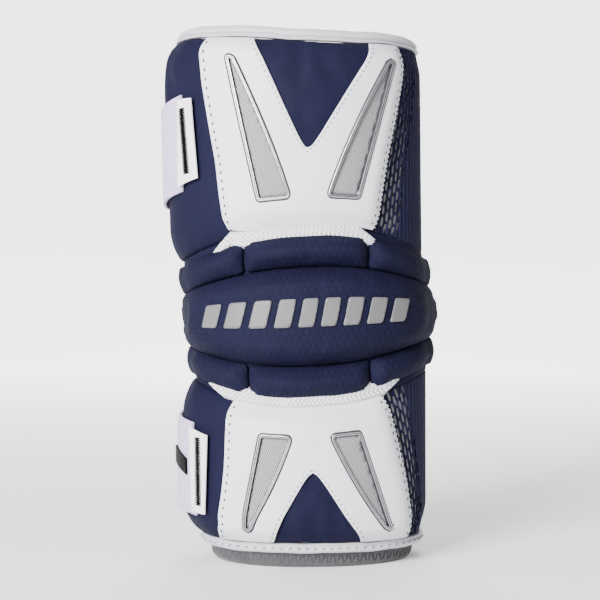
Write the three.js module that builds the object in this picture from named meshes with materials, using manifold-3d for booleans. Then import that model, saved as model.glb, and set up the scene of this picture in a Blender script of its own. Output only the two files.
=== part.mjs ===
import * as THREE from 'three';
import { mergeVertices } from 'three/addons/utils/BufferGeometryUtils.js';
import Module from 'manifold-3d';

const wasm = await Module();
wasm.setup();

// Lacrosse arm pad standing on its lower rim. Millimetres and degrees, +Z up, the front faces -Y.
// Angles run round the sleeve from the front centre line, positive towards +X.

// Overall sizes
const padHeight = 290;
const sleeveHalfWidth = 66;
const sleeveHalfDepth = 50;
const sleeveSquareness = 2.2;

// Walls and fits
const linerWall = 3;
const knitWall = 2;
const netWall = 1.8;
const skinWall = 2;
const clearance = 0.4;
const softClearance = 0.7;
const edgeGap = 0.6;

// Rims
const hemHeight = 9;
const bindingHeight = 7.2;
const bindingThickness = 4.4;

// Elbow
const elbowHeight = 135.2;
const capHeight = 52.4;
const capThickness = 11.5;
const bandHeight = 17.6;
const bandThickness = 9.5;
const bandSplit = 35;
const elbowDroop = 15;
const droopPower = 3;
const elbowBend = 30;
const capReach = 102;
const bandReach = 98;
const cushionEdge = 3.2;
const cushionRound = 6.5;
const cushionSideShare = 0.45;
const underlayHeight = 4.2;
const underlayThickness = 4;
const underlayReach = 56;

// Pads and panels
const padThickness = 9.8;
const padEdgeThickness = 3.6;
const padRound = 12;
const padBack = 125;
const panelNear = 40;
const panelFar = 54.5;
const padLip = 3;
const meshReach = 100;
const notchRadius = 6.5;
const upperNotchDepth = 58;
const lowerNotchDepth = 35.5;
const notchSlope = 0.634;

// Inserts in the panels
const insertWideInner = 10.2;
const insertWideOuter = 26;
const insertTip = 41;
const insertTipWidth = 1.8;
const insertStart = 16;
const upperInsertMargin = 11;
const lowerInsertMargin = 4.8;
const insertRim = 2.2;
const insertProud = 0.9;
const grilleWall = 1;

// Net holes
const netHoleWidth = 3.6;
const netHoleHeight = 4.8;
const netHoleSides = 6;
const netColumns = 3;
const netColumnPitch = 6.2;
const netRowPitch = 9.4;

// Straps
const strapWidth = 52;
const strapWall = 1.6;
const strapFront = 60;
const strapBack = 235;
const strapFall = 8;
const strapShare = 0.57;
const tabHeight = 48;
const tabWall = 1.5;
const tabFront = 57;
const tabBack = 66;
const patchHeight = 17;
const patchWall = 1.4;
const patchFront = 71;
const patchBack = 81;

// Heights that follow from the sizes
const rimLow = hemHeight + bindingHeight;
const rimHigh = padHeight - bindingHeight;
const capLevel = capHeight / 2;
const bandLevel = capLevel + bandHeight;
const padLevel = bandLevel + underlayHeight;
const millimetresPerDegree = THREE.MathUtils.degToRad(sleeveHalfWidth);

// Outer face of the liner from the lower rim to the top. Widths, depths and side shifts are
// shares of the sleeve's half width and half depth, and turn is the twist of the centre line.
const sections = [
  { height: 0, wide: 0.85, deep: 0.92, shift: 0.1, turn: 0 },
  { height: rimLow, wide: 0.89, deep: 0.93, shift: 0.105, turn: 0 },
  { height: rimLow + padRound, wide: 0.95, deep: 0.96, shift: 0.095, turn: -1.5 },
  { height: elbowHeight - elbowBend, wide: 0.95, deep: 0.97, shift: 0.095, turn: -5 },
  { height: elbowHeight, wide: 0.955, deep: 1, shift: 0.08, turn: -4 },
  { height: elbowHeight + elbowBend, wide: 0.985, deep: 1, shift: 0.025, turn: -2 },
  { height: rimHigh - padRound, wide: 1, deep: 1, shift: -0.005, turn: 0 },
  { height: rimHigh, wide: 0.98, deep: 0.97, shift: -0.025, turn: 0 },
  { height: padHeight, wide: 0.95, deep: 0.94, shift: -0.025, turn: 0 },
];

function sectionAt(height) {
  const last = sections.length - 1;
  let index = 1;
  while (index < last && sections[index].height < height) index += 1;
  const low = sections[index - 1];
  const high = sections[index];
  const share = THREE.MathUtils.clamp((height - low.height) / (high.height - low.height), 0, 1);
  const mix = (column) => THREE.MathUtils.lerp(low[column], high[column], share);
  return {
    halfWidth: mix('wide') * sleeveHalfWidth,
    halfDepth: mix('deep') * sleeveHalfDepth,
    centre: mix('shift') * sleeveHalfWidth,
    turn: mix('turn'),
  };
}

// The outward direction and the point that lies rise above the liner's outer face
function sleevePlace(angle, height, rise) {
  const section = sectionAt(height);
  const turned = THREE.MathUtils.degToRad(angle + section.turn);
  const side = Math.sin(turned);
  const front = Math.cos(turned);
  const power = sleeveSquareness;
  const sideTerm = Math.abs(side) / section.halfWidth;
  const frontTerm = Math.abs(front) / section.halfDepth;
  const radius = (sideTerm ** power + frontTerm ** power) ** (-1 / power);
  const outward = new THREE.Vector3(
    (Math.sign(side) * sideTerm ** (power - 1)) / section.halfWidth,
    (-Math.sign(front) * frontTerm ** (power - 1)) / section.halfDepth,
    0,
  ).normalize();
  const point = new THREE.Vector3(section.centre + radius * side, -radius * front, height);
  return { outward, point: point.addScaledVector(outward, rise) };
}

// Columns and rows of the grids that the pieces are bent from
const ringSegments = 36;
const crowdShare = 0.3;
const cushionStep = 10;
const padSideColumns = 6;
const panelColumns = 10;
const padRows = 2;
const notchColumns = 4;
const insertColumns = 3;
const netSteps = 8;
const netLevelRows = 3;
const backColumns = 18;
const underlayColumns = 14;
const strapColumns = 12;
const tabColumns = 2;
const fullTurn = 360;
const notchTipShares = [0.05, 0.25, 0.8];
const bevelShare = 0.25;
const cutterProud = 4;
const roundShare = 0.33;

// Rounded fall towards an edge: 0 on the edge, 1 from round inwards
function soft(distance, round) {
  return Math.sin((THREE.MathUtils.clamp(distance / round, 0, 1) * Math.PI) / 2);
}

function evenSteps(low, high, count) {
  return Array.from({ length: count + 1 }, (_, i) => THREE.MathUtils.lerp(low, high, i / count));
}

// Steps that crowd together within edge of both ends
function edgedSteps(low, high, edge, count) {
  const crowd = crowdShare * edge;
  return [low, low + crowd, ...evenSteps(low + edge, high - edge, count), high - crowd, high];
}

// A slab laid round the sleeve. Stations are its angles at a height, levels its heights at an angle.
function bentSlab(stations, levels, inner, outer) {
  const columns = stations(elbowHeight).length - 1;
  const rows = levels(0).length - 1;
  const geometry = new THREE.BoxGeometry(columns, rows, 1, columns, rows, 1);
  const position = geometry.attributes.position;
  for (let i = 0; i < position.count; i += 1) {
    const column = Math.round(position.getX(i) + columns / 2);
    const row = Math.round(position.getY(i) + rows / 2);
    const height = levels(stations(elbowHeight)[column])[row];
    const angle = stations(height)[column];
    const rise = position.getZ(i) > 0 ? outer(angle, height) : inner(angle, height);
    const { point } = sleevePlace(angle, height, rise);
    position.setXYZ(i, point.x, point.y, point.z);
  }
  return geometry;
}

// A closed ring round the sleeve: the profile holds rise and height, outer side upwards
const profileBase = sleeveHalfWidth;
function bentRing(profile, levelOf = (height) => height) {
  const closed = [...profile, profile[0]];
  const points = closed.map(([rise, height]) => new THREE.Vector2(profileBase + rise, height));
  const geometry = new THREE.LatheGeometry(points, ringSegments);
  const position = geometry.attributes.position;
  for (let i = 0; i < position.count; i += 1) {
    const angle = THREE.MathUtils.radToDeg(Math.atan2(position.getX(i), position.getZ(i)));
    const rise = Math.hypot(position.getX(i), position.getZ(i)) - profileBase;
    const { point } = sleevePlace(angle, levelOf(position.getY(i), angle), rise);
    position.setXYZ(i, point.x, point.y, point.z);
  }
  return geometry;
}

// Joining and cutting
function toSolid(geometry) {
  const bare = geometry.clone();
  bare.deleteAttribute('normal');
  bare.deleteAttribute('uv');
  const merged = mergeVertices(bare, 1e-4);
  const vertProperties = Float32Array.from(merged.attributes.position.array);
  const triVerts = Uint32Array.from(merged.index.array);
  return new wasm.Manifold(new wasm.Mesh({ numProp: 3, vertProperties, triVerts }));
}

function cut(geometry, cutters) {
  let solid = toSolid(geometry);
  for (const cutter of cutters) solid = solid.subtract(toSolid(cutter));
  const mesh = solid.getMesh();
  const result = new THREE.BufferGeometry();
  result.setAttribute('position', new THREE.BufferAttribute(mesh.vertProperties, 3));
  result.setIndex(new THREE.BufferAttribute(mesh.triVerts, 1));
  return result;
}

const finishes = {
  navyCloth: { color: 0x2b2f5b, roughness: 0.75, metalness: 0 },
  navyNet: { color: 0x262b52, roughness: 0.8, metalness: 0 },
  whiteSkin: { color: 0xe9e9ee, roughness: 0.5, metalness: 0 },
  whiteKnit: { color: 0xdedee4, roughness: 0.85, metalness: 0 },
  greyLiner: { color: 0x8a8b8d, roughness: 0.9, metalness: 0 },
  silverRim: { color: 0xb4b5ba, roughness: 0.25, metalness: 0.8 },
  silverMesh: { color: 0xc6c6ca, roughness: 0.5, metalness: 0.3 },
  strapElastic: { color: 0xe0d9e6, roughness: 0.85, metalness: 0 },
  blackRubber: { color: 0x17171a, roughness: 0.5, metalness: 0 },
};

const armPad = new THREE.Group();
function addPiece(name, geometry, finish) {
  geometry.computeVertexNormals();
  const mesh = new THREE.Mesh(geometry, new THREE.MeshStandardMaterial(finishes[finish]));
  mesh.name = name;
  armPad.add(mesh);
}

// How far an angle has turned from the front towards either side: 0 in front, 1 at the side
function sideways(angle) {
  return Math.abs(Math.sin(THREE.MathUtils.degToRad(angle))) ** droopPower;
}

// Height at an angle of a line that crosses the elbow's front level above or below its middle
// and bends back towards the elbow at the sides
function elbowLine(level, angle) {
  return elbowHeight + level - Math.sign(level) * elbowDroop * sideways(angle);
}

// Liner and bindings
const sectionHeights = sections.map((section) => section.height);
const linerHeights = sectionHeights.filter((height) => height <= rimHigh);
addPiece('liner', bentRing([
  ...linerHeights.map((height) => [0, height]),
  ...linerHeights.toReversed().map((height) => [-linerWall, height]),
]), 'greyLiner');

function bindingProfile(inner, outer, low, high) {
  const bevel = bevelShare * (high - low);
  return [
    [outer - bevel, low],
    [outer, low + bevel],
    [outer, high - bevel],
    [outer - bevel, high],
    [inner, high],
    [inner, low],
  ];
}
const topBinding = bindingProfile(-linerWall, bindingThickness, rimHigh + clearance, padHeight);
addPiece('top_binding', bentRing(topBinding), 'whiteSkin');
const bottomBinding = bindingProfile(clearance, clearance + bindingThickness, hemHeight, rimLow);
addPiece('bottom_binding', bentRing(bottomBinding), 'whiteSkin');

// Elbow sleeve: a knit tube over the liner, between the two pads
const sleeveEdge = padLevel - edgeGap;
const sleeveLevels = [-sleeveEdge, -elbowBend, 0, elbowBend, sleeveEdge];
function sleeveHeight(level, angle) {
  const atEdge = Math.abs(Math.abs(level) - sleeveEdge) < edgeGap;
  return atEdge ? elbowLine(level, angle) : elbowHeight + level;
}
addPiece('elbow_sleeve', bentRing([
  ...sleeveLevels.map((level) => [softClearance + knitWall, level]),
  ...sleeveLevels.toReversed().map((level) => [softClearance, level]),
], sleeveHeight), 'navyCloth');

// Cushions of the elbow: rounded towards all four edges and flatter at the sides than in front
const elbowSeat = softClearance + knitWall + softClearance;
function elbowCushion(name, from, to, lowLine, highLine, thickness) {
  const outer = (angle, height) => {
    const across = Math.min(angle - from, to - angle) * millimetresPerDegree;
    const along = Math.min(height - lowLine(angle), highLine(angle) - height);
    const crown = soft(across, cushionRound) * soft(along, cushionRound);
    const full = thickness * THREE.MathUtils.lerp(1, cushionSideShare, sideways(angle));
    return elbowSeat + cushionEdge + (full - cushionEdge) * crown;
  };
  const edge = cushionRound / millimetresPerDegree;
  const steps = Math.ceil((to - from - 2 * edge) / cushionStep);
  const stations = () => edgedSteps(from, to, edge, steps);
  const levels = (angle) => {
    const low = lowLine(angle);
    const high = highLine(angle);
    const round = Math.min(cushionRound, roundShare * (high - low));
    return edgedSteps(low, high, round, 1);
  };
  addPiece(name, bentSlab(stations, levels, () => elbowSeat, outer), 'navyCloth');
}
elbowCushion(
  'elbow_cap',
  -capReach,
  capReach,
  (angle) => elbowLine(-capLevel, angle),
  (angle) => elbowLine(capLevel, angle),
  capThickness,
);
const bandGap = edgeGap / millimetresPerDegree;
const bandSegments = [
  { side: 'left', from: -bandReach, to: -bandSplit - bandGap },
  { side: 'middle', from: -bandSplit, to: bandSplit },
  { side: 'right', from: bandSplit + bandGap, to: bandReach },
];
for (const { side, from, to } of bandSegments) {
  elbowCushion(
    `upper_band_${side}`,
    from,
    to,
    (angle) => elbowLine(capLevel, angle) + edgeGap,
    (angle) => elbowLine(bandLevel, angle),
    bandThickness,
  );
  elbowCushion(
    `lower_band_${side}`,
    from,
    to,
    (angle) => elbowLine(-bandLevel, angle),
    (angle) => elbowLine(-capLevel, angle) - edgeGap,
    bandThickness,
  );
}

// The two arm halves share one builder. Near is the elbow edge, far the rim edge.
const halves = [
  {
    name: 'upper',
    direction: 1,
    rim: rimHigh - clearance,
    notchDepth: upperNotchDepth,
    insertMargin: upperInsertMargin,
  },
  {
    name: 'lower',
    direction: -1,
    rim: rimLow + clearance,
    notchDepth: lowerNotchDepth,
    insertMargin: lowerInsertMargin,
  },
];

for (const { name, direction, rim, notchDepth, insertMargin } of halves) {
  const nearLine = (angle) => elbowLine(direction * padLevel, angle);
  const lowLine = (angle) => Math.min(nearLine(angle), rim);
  const highLine = (angle) => Math.max(nearLine(angle), rim);
  const reach = Math.abs(rim - nearLine(0));
  const insertLength = reach - insertStart - insertMargin;
  const panelEdge = (height) => {
    const share = (Math.abs(height - elbowHeight) - padLevel) / reach;
    return THREE.MathUtils.lerp(panelNear, panelFar, THREE.MathUtils.clamp(share, 0, 1));
  };
  const padFront = (height) => panelEdge(height) + padLip;

  // Foam pad under the skin, thinner towards its four edges
  const padRise = (angle, height) => {
    const front = (padFront(height) - angle) * millimetresPerDegree;
    const back = (angle + padBack) * millimetresPerDegree;
    const along = Math.min(height - lowLine(angle), highLine(angle) - height);
    const crown = soft(Math.min(front, back), padRound) * soft(along, padRound);
    return padEdgeThickness + (padThickness - padEdgeThickness) * crown;
  };
  const padEdge = padRound / millimetresPerDegree;
  const padSide = [
    -padBack,
    -padBack + crowdShare * padEdge,
    ...evenSteps(-padBack + padEdge, -strapFront, padSideColumns),
  ];
  const panelStations = (height) => {
    const edge = panelEdge(height);
    return edgedSteps(-edge, edge, padEdge - padLip, panelColumns);
  };
  const padStations = (height) => [
    ...padSide,
    (-strapFront - panelEdge(height)) / 2,
    ...panelStations(height),
    padFront(height),
  ];
  const padLevels = (angle) => edgedSteps(lowLine(angle), highLine(angle), padRound, padRows);
  addPiece(
    `${name}_pad`,
    bentSlab(padStations, padLevels, () => softClearance, padRise),
    'navyCloth',
  );

  // White panel with its notch and two windows
  const skinLow = (angle, height) => padRise(angle, height) + softClearance;
  const skinHigh = (angle, height) => skinLow(angle, height) + skinWall;
  const cutLow = () => clearance;
  const cutHigh = () => padThickness + softClearance + skinWall + cutterProud;
  const sunk = () => padEdgeThickness / 2;
  const fromRim = (distance) => rim - direction * distance;
  const ordered = (heights) => (direction > 0 ? heights : heights.toReversed());
  const notchHalf = (height) => {
    const deep = Math.max(0, notchDepth - Math.abs(rim - height));
    return (notchSlope * Math.sqrt(deep ** 2 + 2 * notchRadius * deep)) / millimetresPerDegree;
  };
  const notchTip = notchTipShares.map((share) => notchDepth - share * notchRadius);
  const notchDistances = [...notchTip, notchDepth / 2, 0, -skinWall];
  const notchRows = ordered(notchDistances.map(fromRim));
  const notchStations = (height) => {
    const inside = direction > 0 ? Math.min(height, rim) : Math.max(height, rim);
    return evenSteps(-notchHalf(inside), notchHalf(inside), notchColumns);
  };
  const notch = bentSlab(notchStations, () => notchRows, cutLow, cutHigh);

  // Windows taper from a wide end near the elbow to a tip near the rim
  const wideEnd = elbowHeight + direction * (padLevel + insertStart);
  const windowShare = (height) => Math.abs(height - wideEnd) / insertLength;
  const windowSide = (height, grow) => {
    const share = windowShare(height);
    const growAngle = grow / millimetresPerDegree;
    const tipInner = insertTip - insertTipWidth / millimetresPerDegree;
    const inner = THREE.MathUtils.lerp(insertWideInner, tipInner, share);
    const outer = THREE.MathUtils.lerp(insertWideOuter, insertTip, share);
    return [inner - growAngle, outer + growAngle];
  };
  function taper(side, grow, endShare, low, high) {
    const start = wideEnd - direction * grow;
    const end = wideEnd + direction * (endShare * insertLength + grow);
    const falls = [crowdShare * padRound, padRound].map(fromRim);
    const inside = (height) => (height - start) * (end - height) > 0;
    const even = evenSteps(start, end, insertColumns);
    const rows = [...even, ...falls.filter(inside)].sort((a, b) => a - b);
    const stations = (height) => {
      const [inner, outer] = windowSide(height, grow);
      const [from, to] = side === 'right' ? [inner, outer] : [-outer, -inner];
      return evenSteps(from, to, insertColumns);
    };
    return bentSlab(stations, () => rows, low, high);
  }
  const windowWidth = (insertWideOuter - insertWideInner) * millimetresPerDegree;
  const rimShare = 1 - (2 * insertRim + insertTipWidth) / windowWidth;
  const sides = ['left', 'right'];
  const underSkin = bentSlab(padStations, padLevels, cutLow, skinLow);
  const windows = sides.map((side) => taper(side, 0, 1, cutLow, cutHigh));
  const skin = bentSlab(panelStations, padLevels, skinLow, skinHigh);
  addPiece(`${name}_panel`, cut(skin, [notch, ...windows]), 'whiteSkin');
  for (const side of sides) {
    const frameHigh = (angle, height) => skinHigh(angle, height) + insertProud;
    const frame = taper(side, -clearance, 1, sunk, frameHigh);
    const opening = taper(side, -insertRim, rimShare, cutLow, cutHigh);
    addPiece(`${name}_insert_rim_${side}`, cut(frame, [opening, underSkin]), 'silverRim');
    const grilleHigh = (angle, height) => skinLow(angle, height) + grilleWall;
    const grille = taper(side, -insertRim - clearance, rimShare, sunk, grilleHigh);
    addPiece(`${name}_insert_mesh_${side}`, cut(grille, [underSkin]), 'silverMesh');
  }

  // Stretch net beside the panel, cut through by its holes, then plain knit round the back
  const netFront = (height) => padFront(height) + bandGap;
  const netStations = (height) => evenSteps(netFront(height), meshReach, netSteps);
  const netLevels = (angle) => {
    const bend = fromRim(padRound);
    const near = nearLine(angle);
    return ordered([near, ...evenSteps(near, bend, netLevelRows).slice(1), rim]);
  };
  const netOuter = () => softClearance + netWall;
  const net = bentSlab(netStations, netLevels, () => softClearance, netOuter);
  const holes = [];
  const holeSize = netHoleWidth / 2;
  const firstRow = padRound / 2 + netRowPitch / 2;
  const netRows = Math.floor((reach - firstRow) / netRowPitch);
  for (let column = 0; column < netColumns; column += 1) {
    for (let row = 0; row < netRows; row += 1) {
      const stagger = column % 2 === 0 ? 0 : netRowPitch / 2;
      const height = fromRim(firstRow + row * netRowPitch + stagger);
      const offset = netHoleWidth + column * netColumnPitch;
      const angle = netFront(height) + offset / millimetresPerDegree;
      const { outward, point } = sleevePlace(angle, height, softClearance + netWall / 2);
      const up = new THREE.Vector3(0, 0, 1);
      const across = new THREE.Vector3().crossVectors(outward, up);
      const depth = netWall + cutterProud;
      const hole = new THREE.CylinderGeometry(holeSize, holeSize, depth, netHoleSides);
      hole.applyMatrix4(new THREE.Matrix4().makeScale(1, 1, netHoleHeight / netHoleWidth));
      hole.applyMatrix4(new THREE.Matrix4().makeBasis(across, outward, up));
      hole.translate(point.x, point.y, point.z);
      holes.push(hole);
    }
  }
  addPiece(`${name}_net`, cut(net, holes), 'navyNet');
  const backFrom = meshReach + bandGap;
  const backTo = fullTurn - padBack - bandGap;
  const backLevels = (angle) => {
    const bend = fromRim(padRound);
    return [lowLine(angle), bend, highLine(angle)];
  };
  const back = bentSlab(
    () => evenSteps(backFrom, backTo, backColumns),
    backLevels,
    () => softClearance,
    () => softClearance + knitWall,
  );
  addPiece(`${name}_back`, back, 'navyCloth');

  // White knit strip that shows between the panel and the elbow band
  const stripOuter = elbowSeat + underlayThickness;
  const stripLevels = (angle) => ordered([
    elbowLine(direction * bandLevel, angle) + direction * clearance,
    nearLine(angle) - direction * clearance,
  ]);
  const strip = bentSlab(
    () => evenSteps(-underlayReach, underlayReach, underlayColumns),
    stripLevels,
    () => elbowSeat,
    () => stripOuter,
  );
  addPiece(`${name}_underlay`, strip, 'whiteKnit');

  // Elastic strap from the back round the left side to its tab
  const backRise = softClearance + knitWall;
  const strapTurn = -padBack - bandGap;
  const strapRise = (angle, height) => {
    const overPad = padRise(Math.max(angle, -padBack), height);
    const share = THREE.MathUtils.clamp((strapTurn - angle) / strapFall, 0, 1);
    return THREE.MathUtils.lerp(overPad, backRise, share) + clearance;
  };
  const strapStations = () => [
    ...evenSteps(-strapBack, strapTurn - strapFall, strapColumns),
    strapTurn,
    ...padSide,
  ];
  const strapMiddle = fromRim(strapShare * reach);
  const strapLow = strapMiddle - strapWidth / 2;
  const strapHigh = strapMiddle + strapWidth / 2;
  const strap = bentSlab(
    strapStations,
    () => [strapLow, strapHigh],
    strapRise,
    (angle, height) => strapRise(angle, height) + strapWall,
  );
  addPiece(`${name}_strap`, strap, 'strapElastic');
  const tabRise = (angle, height) => strapRise(angle, height) + strapWall + clearance;
  const tab = bentSlab(
    () => evenSteps(-tabBack, -tabFront, tabColumns),
    () => [strapMiddle - tabHeight / 2, strapMiddle + tabHeight / 2],
    tabRise,
    (angle, height) => tabRise(angle, height) + tabWall,
  );
  addPiece(`${name}_strap_tab`, tab, 'whiteSkin');
  if (direction < 0) {
    const patch = bentSlab(
      () => evenSteps(-patchBack, -patchFront, tabColumns),
      () => [strapMiddle - patchHeight / 2, strapMiddle + patchHeight / 2],
      tabRise,
      (angle, height) => tabRise(angle, height) + patchWall,
    );
    addPiece('strap_patch', patch, 'blackRubber');
  }
}

// The origin is the middle of the box's underside
const outerBox = new THREE.Box3().setFromObject(armPad);
const middle = outerBox.getCenter(new THREE.Vector3());
armPad.position.set(-middle.x, -middle.y, -outerBox.min.z);

export default armPad;
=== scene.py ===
# %% [markdown]
# # Lacrosse arm pad
# The pad is a grey liner tube with everything else sewn round it: two foam pads, white panels,
# rolls over the elbow, a net, and two elastic straps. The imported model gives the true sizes.
# Here each piece is cut flat, like a tailor's pattern, and then wrapped round the sleeve.

import math

import bmesh
import bpy
import numpy as np
from mathutils import Matrix, Vector
from mathutils.bvhtree import BVHTree


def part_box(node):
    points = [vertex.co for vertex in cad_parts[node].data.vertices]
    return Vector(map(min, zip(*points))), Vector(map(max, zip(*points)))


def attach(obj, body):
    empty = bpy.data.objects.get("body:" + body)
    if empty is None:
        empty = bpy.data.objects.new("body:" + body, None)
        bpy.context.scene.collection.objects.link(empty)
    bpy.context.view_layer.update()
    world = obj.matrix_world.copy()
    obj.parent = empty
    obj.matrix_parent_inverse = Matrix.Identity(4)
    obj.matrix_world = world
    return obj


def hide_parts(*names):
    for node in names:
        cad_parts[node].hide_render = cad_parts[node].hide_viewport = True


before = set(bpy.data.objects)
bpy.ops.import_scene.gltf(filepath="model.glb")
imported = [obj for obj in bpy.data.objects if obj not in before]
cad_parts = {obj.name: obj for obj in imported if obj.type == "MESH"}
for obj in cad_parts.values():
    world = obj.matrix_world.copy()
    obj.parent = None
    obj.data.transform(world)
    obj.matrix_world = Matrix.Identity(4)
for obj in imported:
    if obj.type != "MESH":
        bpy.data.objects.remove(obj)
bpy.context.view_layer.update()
MM = 0.001
print("packed nodes:", len(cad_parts))

# %% [markdown]
# ## Camera
# The photograph was taken a little below the pad's middle height, level, with a long lens, so
# upright lines stay upright. The camera looks along a line that passes through the sleeve's axis.

# %% Place the camera
liner_low, liner_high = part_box("liner")
HALF_WIDTH, HALF_DEPTH = 66 * MM, 50 * MM
SHIFT = Vector((liner_low.x + 1.005 * HALF_WIDTH, liner_low.y + HALF_DEPTH, 0))
CAMERA_DISTANCE, EYE_HEIGHT, CAMERA_TURN = 830 * MM, 144 * MM, math.radians(-4)

camera_data = bpy.data.cameras.new("camera")
camera_data.lens = 87.5
camera_data.sensor_width = 36
camera_data.clip_end = 20
camera = bpy.data.objects.new("camera", camera_data)
camera.location = SHIFT + Vector((
    CAMERA_DISTANCE * math.sin(CAMERA_TURN),
    -CAMERA_DISTANCE * math.cos(CAMERA_TURN),
    EYE_HEIGHT,
))
camera.rotation_euler = (math.pi / 2, 0, CAMERA_TURN)
bpy.context.scene.collection.objects.link(camera)
bpy.context.scene.camera = camera
print("camera at", tuple(round(x, 4) for x in camera.location))

# %% [markdown]
# ## Shader sums
# A material is a tree of nodes. Written node by node it hides the idea, so one small class wraps
# a socket and lets masks and waves be added and multiplied like numbers.

# %% A socket that can be reckoned with
class Tone:
    def __init__(self, finish, socket):
        self.finish = finish
        self.socket = socket

    def math(self, operation, *others):
        sockets = dict(enumerate((self, *others)))
        return self.finish.node("Math", {"operation": operation}, sockets, "Value")

    def __add__(self, other):
        return self.math("ADD", other)

    def __sub__(self, other):
        return self.math("SUBTRACT", other)

    def __rsub__(self, other):
        return (self * -1) + other

    def __mul__(self, other):
        return self.math("MULTIPLY", other)

    def __truediv__(self, other):
        return self.math("DIVIDE", other)

    __radd__ = __add__
    __rmul__ = __mul__

    def wave(self, period):
        """Runs from -1 to 1 and back once in each period."""
        return (self * (math.tau / period)).math("SINE")

    def clamp(self, low, high):
        """0 below low, 1 above high, and even between them."""
        sockets = {"Value": self, "From Min": low, "From Max": high}
        return self.finish.node("MapRange", {"clamp": True}, sockets, "Result")


class Finish:
    """A material with one Principled shader; constants go straight onto its sockets."""

    def __init__(self, name, **constants):
        self.material = bpy.data.materials.new(name)
        self.material.use_nodes = True
        self.tree = self.material.node_tree
        self.shader = self.tree.nodes["Principled BSDF"]
        for key, value in constants.items():
            self.shader.inputs[key.replace("_", " ")].default_value = value

    def feed(self, socket, value):
        if isinstance(value, Tone):
            self.tree.links.new(value.socket, socket)
        else:
            socket.default_value = value

    def node(self, kind, settings, sockets, output):
        made = self.tree.nodes.new("ShaderNode" + kind)
        for key, value in settings.items():
            setattr(made, key, value)
        for key, value in sockets.items():
            self.feed(made.inputs[key], value)
        return Tone(self, made.outputs[output])

    def parts(self, place):
        """The x, y and z of a place."""
        made = self.tree.nodes.new("ShaderNodeSeparateXYZ")
        self.feed(made.inputs[0], place)
        return [Tone(self, socket) for socket in made.outputs]

    def cloth_place(self):
        """Place on the flat cut: millimetres round the sleeve and up it."""
        u, v, _ = self.parts(self.node("UVMap", {"uv_map": "cut"}, {}, "UV"))
        return u / MM, v / MM

    def object_place(self):
        return self.node("TexCoord", {}, {}, "Object")

    def noise(self, place, size, detail=2.0):
        """Soft random patches of about this size in metres, from 0 to 1."""
        sockets = {"Vector": place, "Scale": 1 / size, "Detail": detail}
        return self.node("TexNoise", {}, sockets, "Fac")

    def mix(self, factor, low, high):
        """From the colour low where factor is 0 to the colour high where it is 1."""
        return self.node("Mix", {"data_type": "RGBA"}, {"Factor": factor, 6: low, 7: high}, 2)

    def bump(self, height, depth, strength=1.0, under=None):
        sockets = {"Height": height, "Distance": depth, "Strength": strength}
        if under is not None:
            sockets["Normal"] = under
        return self.node("Bump", {}, sockets, "Normal")

    def wear(self, **sockets):
        for key, value in sockets.items():
            self.feed(self.shader.inputs[key.replace("_", " ")], value)
        return self.material


def colour(red, green, blue):
    """A colour given as it looks on a screen, as the shader's own numbers."""
    return (*[(part / 255) ** 2.2 for part in (red, green, blue)], 1.0)


# %% [markdown]
# ## Navy cloth
# The pads are a close brushed knit with a very faint rib. The elbow rolls are the same cloth,
# embossed with small six-sided cells whose pressed borders are painted darker as shade. The
# pattern follows the flat cut, as real cloth does.

# %% Navy cloth, plain and embossed
NAVY_DARK, NAVY_LIGHT = colour(18, 18, 35), colour(28, 28, 52)


def knit(finish, u, v, course):
    """Interlocking loops: a fine rib crossed by a finer one."""
    return u.wave(course) * 0.6 + (v + u.wave(course) * (0.2 * course)).wave(0.8 * course) * 0.4


def hexagons(u, v, across):
    """0 in the middle of each six-sided cell, rising to 1 on its border."""
    ratio = math.sqrt(3)

    def nearest(offset):
        x = ((u / across) + offset).math("FRACT") - 0.5
        y = (((v / (across * ratio)) + offset).math("FRACT") - 0.5) * ratio
        flat = x.math("ABSOLUTE")
        slope = flat * 0.5 + y.math("ABSOLUTE") * (ratio / 2)
        return flat.math("MAXIMUM", slope)

    return nearest(0.0).math("MINIMUM", nearest(0.5)) * 2


def navy_cloth(name, embossed):
    finish = Finish(name, Specular_IOR_Level=0.12)
    u, v = finish.cloth_place()
    loops = knit(finish, u, v, 0.9)
    patches = finish.noise(finish.object_place(), 25 * MM)
    shade = patches * 0.5 + loops * 0.08 + 0.2
    normal = finish.bump(loops, 0.05 * MM, 0.5)
    if embossed:
        cells = hexagons(u, v, 4.2).clamp(0.5, 0.98)
        # The pressed cell borders are painted darker: painted shade in the grooves.
        shade = shade - cells * 0.16
        normal = finish.bump(1 - cells, 0.24 * MM, 0.6, normal)
    base = finish.mix(shade.clamp(0, 1), NAVY_DARK, NAVY_LIGHT)
    return finish.wear(Base_Color=base, Roughness=0.72 + patches * 0.12, Normal=normal)


navy_plain = navy_cloth("navy_plain", False)
navy_embossed = navy_cloth("navy_embossed", True)

# %% Navy net
def navy_net():
    finish = Finish("navy_net", Specular_IOR_Level=0.12)
    u, v = finish.cloth_place()
    ribs = u.wave(3.2) * 0.5 + 0.5
    loops = knit(finish, u, v, 0.7)
    # The ribs are lighter on their crests and darker in their valleys: painted shade.
    shade = (ribs * 0.7 + loops * 0.15).clamp(0, 1)
    base = finish.mix(shade, colour(20, 20, 38), colour(42, 42, 70))
    return finish.wear(Base_Color=base, Roughness=0.8 + loops * 0.05,
                       Normal=finish.bump(ribs + loops * 0.1, 0.6 * MM, 0.8))


net_cloth = navy_net()
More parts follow.
